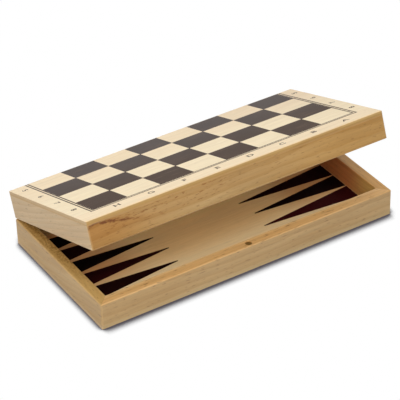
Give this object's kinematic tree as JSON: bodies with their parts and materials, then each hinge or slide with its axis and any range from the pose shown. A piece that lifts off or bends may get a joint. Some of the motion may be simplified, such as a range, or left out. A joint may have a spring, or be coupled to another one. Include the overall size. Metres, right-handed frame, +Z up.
{
  "type": "folding games box",
  "caption": "Folding wooden box of two hinged trays, with a chessboard across its outer faces and backgammon points on its tray floors; it opens flat and holds the playing pieces.",
  "frame": {"origin": "centre of the base's underside, the face that the box rests on", "axes": "+X along the hinges, to the right as seen from the front; +Y from the front to the hinged back; +Z up"},
  "size_m": [0.3, 0.1586, 0.1008],
  "materials": {
    "pine": "satin varnish",
    "pale_panel": "satin varnish",
    "dark_print": "satin print",
    "black_print": "satin print",
    "maroon_print": "satin print",
    "brass": "brushed",
    "nickel": "plated"
  },
  "bodies": {
    "base": {"base_front_rail": "pine", "base_back_rail": "pine", "base_left_rail": "pine", "base_right_rail": "pine", "base_panel": "pale_panel", "base_dark_squares": "dark_print", "base_border_lines": "dark_print", "base_black_points": "black_print", "base_maroon_points": "maroon_print", "base_magnet": "nickel", "base_hinge_screws": "brass", "left_hinge_base_leaf": "brass", "right_hinge_base_leaf": "brass", "left_hinge_pin": "brass", "right_hinge_pin": "brass"},
    "lid": {"lid_front_rail": "pine", "lid_back_rail": "pine", "lid_left_rail": "pine", "lid_right_rail": "pine", "lid_panel": "pale_panel", "lid_dark_squares": "dark_print", "lid_border_lines": "dark_print", "lid_black_points": "black_print", "lid_maroon_points": "maroon_print", "lid_magnet": "nickel", "lid_hinge_screws": "brass", "left_hinge_lid_leaf": "brass", "right_hinge_lid_leaf": "brass"}
  },
  "joints": [
    {"name": "lid_hinge", "type": "hinge", "parent": "base", "child": "lid", "pos_m": [0, 0.0752, 0.02615], "axis": [-1, 0, 0], "range_deg": [-19.5, 160.5]}
  ]
}
